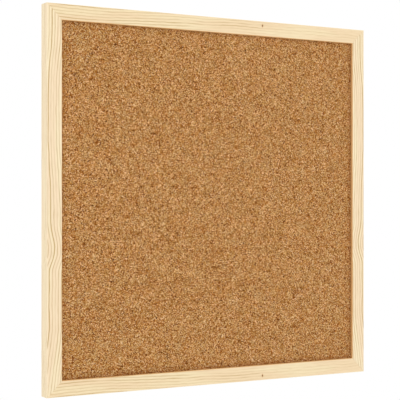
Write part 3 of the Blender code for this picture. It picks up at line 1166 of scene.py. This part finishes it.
@dataclass
class HangingHardware:
    """Two strap hangers with their D-rings and pan-head screws."""

    strap_width: float = 10 * MM
    strap_thickness: float = 1 * MM
    strap_corner: float = 4 * MM
    corner_segments: int = 10
    strap_round: float = 0.12 * MM
    bore_radius: float = 1.5 * MM
    curl_sweep: float = math.radians(285)
    curl_steps: int = 48
    wire_radius: float = 1.1 * MM
    wire_sides: int = 20
    wire_steps: int = 10  # to a quarter turn at the ring's corners
    bow_steps: int = 40
    ring_half_width: float = 7.5 * MM
    ring_corner: float = 2 * MM
    ring_leg: float = 3 * MM
    screw_drops: Pair = (20 * MM, 38 * MM)
    screw_hole: float = 2 * MM
    hole_sides: int = 40
    shank_radius: float = 1.5 * MM
    shank_point: float = 3 * MM
    screw_sides: int = 48
    head_radius: float = 3.2 * MM
    head_height: float = 2 * MM
    head_edge: float = 0.5 * MM
    recess_length: float = 3.6 * MM
    recess_width: float = 0.75 * MM
    recess_depth: float = 1.15 * MM
    recess_taper: float = 0.35  # the floor of the cross over its mouth
    recess_angle: float = 0.35  # where the driver left the cross, in radians

    def build(self, look: Look) -> None:
        """Makes both hangers.

        Args:
            look: The zinc-plated finish.
        """
        joints = {joint["name"]: Vector(joint["pos_m"]) for joint in frame["joints"]}
        for word, body in (("left", LEFT_RING), ("right", RIGHT_RING)):
            pivot = joints[f"{word}_ring_pivot"]
            made = [(self._strap(f"strap_hanger_{word}", pivot, look), BOARD)]
            made.append((new_object(f"zinc_d_ring_{word}", self._ring(pivot), look), body))
            for number, drop in enumerate(self.screw_drops, 1):
                made.append((self._screw(f"hanger_screw_{word}_{number}", pivot, drop, look), BOARD))
            for piece, rides_on in made:
                settle(piece, rides_on, piece.name.removeprefix("zinc_"))

    def _strap(self, node: str, pivot: Vector, look: Look) -> Piece:
        """Makes one strap: flat, round at its foot, curled into an eye at its head.

        Args:
            node: The strap's node.
            pivot: The middle of its eye.
            look: Its finish.

        Returns:
            The finished strap.
        """
        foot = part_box(node)[0].z
        half = self.strap_width / 2
        near, far = self.bore_radius, self.bore_radius + self.strap_thickness
        section = ((-half, -far), (half, -far), (half, -near), (-half, -near))
        bm = bmesh.new()
        sweep = Sweep(bm, outline(bm, [(pivot.x + x, pivot.y + y, foot) for x, y in section]))
        sweep.straight(Vector((0, 0, pivot.z - foot)))
        sweep.turn(pivot, Vector((1, 0, 0)), -self.curl_sweep, self.curl_steps)
        sweep.cap()
        foot_corners = [
            edge
            for edge in bm.edges
            if all(abs(vert.co.z - foot) < WELD for vert in edge.verts)
            and abs(edge.verts[0].co.x - edge.verts[1].co.x) < WELD
        ]
        bevelled(bm, foot_corners, self.strap_corner, self.corner_segments)
        round_edges(bm, self.strap_round)
        strap = new_object(f"zinc_{node}", bm, look)
        deep = 2 * self.strap_thickness
        hole = ((0, -deep), (self.screw_hole, -deep), (self.screw_hole, deep), (0, deep))
        middle = pivot.y - (near + far) / 2
        places = [(pivot.x, middle, pivot.z - drop) for drop in self.screw_drops]
        cut_out(strap, [new_object("screw_hole", turned(hole, self.hole_sides, place)) for place in places])
        return strap

    def _ring(self, pivot: Vector) -> BMesh:
        """Bends one D-ring from round wire.

        Args:
            pivot: The middle of its straight bar.

        Returns:
            The ring's shape.
        """
        bm = bmesh.new()
        bar_end = self.ring_half_width - self.ring_corner
        bmesh.ops.create_circle(bm, segments=self.wire_sides, radius=self.wire_radius)
        rotate(bm, "Y", QUARTER_TURN)
        shift(bm, pivot - Vector((bar_end, 0, 0)))
        wire = Sweep(bm, bm.edges)
        axis = Vector((0, 1, 0))
        leg = Vector((0, 0, self.ring_leg))
        wire.straight(Vector((2 * bar_end, 0, 0)))
        wire.turn(pivot + Vector((bar_end, 0, -self.ring_corner)), axis, QUARTER_TURN, self.wire_steps)
        wire.straight(-leg)
        bow = pivot - Vector((0, 0, self.ring_corner + self.ring_leg))
        wire.turn(bow, axis, 2 * QUARTER_TURN, self.bow_steps)
        wire.straight(leg)
        wire.turn(pivot - Vector((bar_end, 0, self.ring_corner)), axis, QUARTER_TURN, self.wire_steps)
        wire.join()
        return bm

    def _screw(self, node: str, pivot: Vector, drop: float, look: Look) -> Piece:
        """Turns one pan-head screw and cuts its cross recess.

        Args:
            node: The screw's node.
            pivot: The middle of the strap's eye.
            drop: How far below it the screw is.
            look: Its finish.

        Returns:
            The finished screw.
        """
        low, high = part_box(node)
        centre = Vector((pivot.x, high.y, pivot.z - drop))
        tip, under = low.y - high.y, -self.head_height
        shank = self.shank_radius
        profile = [(0, tip), (shank, tip + self.shank_point), (shank, under), (self.head_radius, under)]
        profile += rounded_rim(self.head_radius, self.head_radius, self.head_height - self.head_edge)
        screw = new_object(f"zinc_{node}", turned(profile, self.screw_sides, centre), look)
        cut_out(screw, [self._blade(centre, self.recess_angle + turn) for turn in (0, QUARTER_TURN)])
        return screw

    def _blade(self, centre: Vector, angle: float) -> Piece:
        """Makes a tapered blade that cuts one arm of a cross recess.

        Args:
            centre: The middle of the screw's head.
            angle: How far the arm is turned about the screw, in radians.

        Returns:
            The blade.
        """
        bm = bmesh.new()
        mouth = math.sqrt(0.5)  # the corner radius of a unit square
        floor = mouth * self.recess_taper
        bmesh.ops.create_cone(bm, cap_ends=True, segments=4, radius1=floor, radius2=mouth, depth=1.0)
        rotate(bm, "Z", QUARTER_TURN / 2)
        size = (self.recess_length, self.recess_width, 2 * self.recess_depth)
        bmesh.ops.scale(bm, verts=bm.verts, vec=size)
        rotate(bm, "Z", angle)
        rotate(bm, "X", -QUARTER_TURN)
        shift(bm, centre)
        return new_object("recess", bm)


@dataclass
class WallBumpers:
    """Two rubber bumpers that hold the lower corners off the wall."""

    face_share: float = 0.8  # the face's radius over the base's
    rounding: float = 0.9 * MM
    dish: float = 0.25 * MM
    dish_share: float = 0.45  # the dish's flat over the face
    foot: float = 0.5 * MM
    foot_chamfer: float = 0.2 * MM
    sides: int = 64

    def build(self, look: Look) -> None:
        """Moulds both bumpers.

        Args:
            look: The rubber finish.
        """
        for word in ("left", "right"):
            node = f"wall_bumper_{word}"
            low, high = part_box(node)
            base, bottom, chamfer = (high.x - low.x) / 2, low.y - high.y, self.foot_chamfer
            face = self.face_share * base
            profile = [(0, bottom), (base - chamfer, bottom), (base, bottom + chamfer)]
            profile.append((base, bottom + self.foot))
            profile += rounded_rim(face, self.rounding, self.rounding)
            profile += [(self.dish_share * face, -self.dish), (0, -self.dish)]
            centre = ((low.x + high.x) / 2, high.y, (low.z + high.z) / 2)
            bumper = new_object(f"rubber_{node}", turned(profile, self.sides, centre), look)
            settle(bumper, BOARD, node)


@dataclass
class Studio:
    """A pale floor well below the hung board, soft white light and the camera."""

    camera_place: tuple[float, float, float] = (-1.0253, -1.7493, -0.0062)
    camera_yaw: float = math.radians(-29.965)
    lens: float = 110.2
    shift_up: float = 0.011
    nearest: float = 0.05  # the camera draws nothing closer
    floor_drop: float = 0.9
    floor_radius: float = 2.3
    floor_sides: int = 128
    paper: str = "#F4F4F2"
    bright_paper: str = "#FAFAF9"
    paper_waves: float = 60.0  # per metre
    lamp_place: tuple[float, float, float] = (-1.2, -3.0, 1.6)
    lamp_width: float = 2.5
    lamp_watts: float = 12

    def build(self) -> None:
        """Sets up the floor, the light and the camera."""
        self._floor()
        self._light()
        data = bpy.data.cameras.new("camera")
        data.lens = self.lens
        data.shift_y = self.shift_up
        data.clip_start = self.nearest
        camera = bpy.data.objects.new("camera", data)
        camera.location = self.camera_place
        camera.rotation_euler = (QUARTER_TURN, 0, self.camera_yaw)
        bpy.context.scene.collection.objects.link(camera)
        bpy.context.scene.camera = camera
        bpy.context.scene.view_settings.view_transform = "Standard"

    def _floor(self) -> None:
        """Lays the floor, a pale round sheet of matt paper with a faint grain."""
        material, tree, shader = new_material("studio_paper", Roughness=0.9, Specular_IOR_Level=0.1)
        place = add_node(tree, "TexCoord").outputs["Object"]
        grain = add_node(tree, "TexNoise", {"Scale": self.paper_waves, "Detail": 3.0}, {0: place})
        colour = add_node(tree, "Mix", between(self.paper, self.bright_paper), {0: grain})
        join_up(tree, shader, Base_Color=colour)
        bm = bmesh.new()
        bmesh.ops.create_circle(bm, cap_ends=True, segments=self.floor_sides, radius=self.floor_radius)
        shift(bm, (0, 0, -self.floor_drop))
        new_object("studio_floor", bm, material)

    def _light(self) -> None:
        """Sets a white room light and one large soft lamp at the front."""
        scene = bpy.context.scene
        scene.world = bpy.data.worlds.new("white_room")
        scene.world.use_nodes = True
        room = scene.world.node_tree.nodes["Background"]
        room.inputs["Color"].default_value = (1, 1, 1, 1)
        room.inputs["Strength"].default_value = 1.0
        data = bpy.data.lights.new("soft_lamp", "AREA")
        data.shape = "DISK"
        data.size = self.lamp_width
        data.energy = self.lamp_watts
        lamp = bpy.data.objects.new("soft_lamp", data)
        lamp.location = self.lamp_place
        lamp.rotation_euler = (-lamp.location).to_track_quat("-Z", "Y").to_euler()
        scene.collection.objects.link(lamp)


def main() -> None:
    """Builds the studio and every sub-assembly in order."""
    logging.basicConfig(level=logging.INFO, format="%(name)s: %(message)s")
    Studio().build()

    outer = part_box(Side.TOP.member)[1].z
    pine = PineFrame()
    rail = {
        "grain": Grain.LEVEL,
        "seed": 3.1,
        "knots": (Knot(88 * MM, outer - 7.5 * MM),),
        "bends": (Bend(-150 * MM, 85 * MM, 9 * MM),),
        "quiet": (20 * MM, 130 * MM),
    }
    stile = {
        "grain": Grain.UPRIGHT,
        "seed": 11.3,
        "bends": (
            Bend(290 * MM, 130 * MM, -10 * MM),
            Bend(120 * MM, -10 * MM, 8 * MM),
            Bend(-35 * MM, -75 * MM, 6 * MM),
            Bend(-80 * MM, -110 * MM, -8 * MM),
            Bend(-190 * MM, -320 * MM, -16 * MM),
        ),
        "earlywood": "#F7E5C1",
        "warm_earlywood": "#F5DEBC",
        "line_strength": 1.3,
        "faintest": 0.5,
    }
    looks = {
        Side.TOP: PineFinish("pine_top_rail", **rail),
        Side.BOTTOM: PineFinish("pine_bottom_rail", **rail, flipped=True),
        Side.LEFT: PineFinish("pine_left_stile", **stile),
        Side.RIGHT: PineFinish("pine_right_stile", **stile, flipped=True),
    }
    pine.build({side: finish.build() for side, finish in looks.items()})

    core = FibreboardFinish("softboard_pulp", "#B59A78", "#8E7455", "#CDB592", fibre=1.8 * MM, roughness=0.95)
    back = FibreboardFinish("hardboard_screen_side", "#8A6242", "#6B472C", "#A67B55", screen_pitch=1.8 * MM)
    cork = CorkFinish(half_opening=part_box(Side.TOP.member)[0].z)
    CorkPanel().build(cork.build(), core.build(), back.build())

    plain_steel = SteelFinish("bright_rolled_steel", "#B6B8BA", "#A6A8AA", (0.3, 0.42))
    zinc = SteelFinish("zinc_plated_steel", "#C2C6CC", "#B5BAC2", (0.22, 0.32))
    PanelFixings().build(plain_steel.build())
    HangingHardware().build(zinc.build())
    WallBumpers().build(RubberFinish().build())


if __name__ == "__main__":
    main()
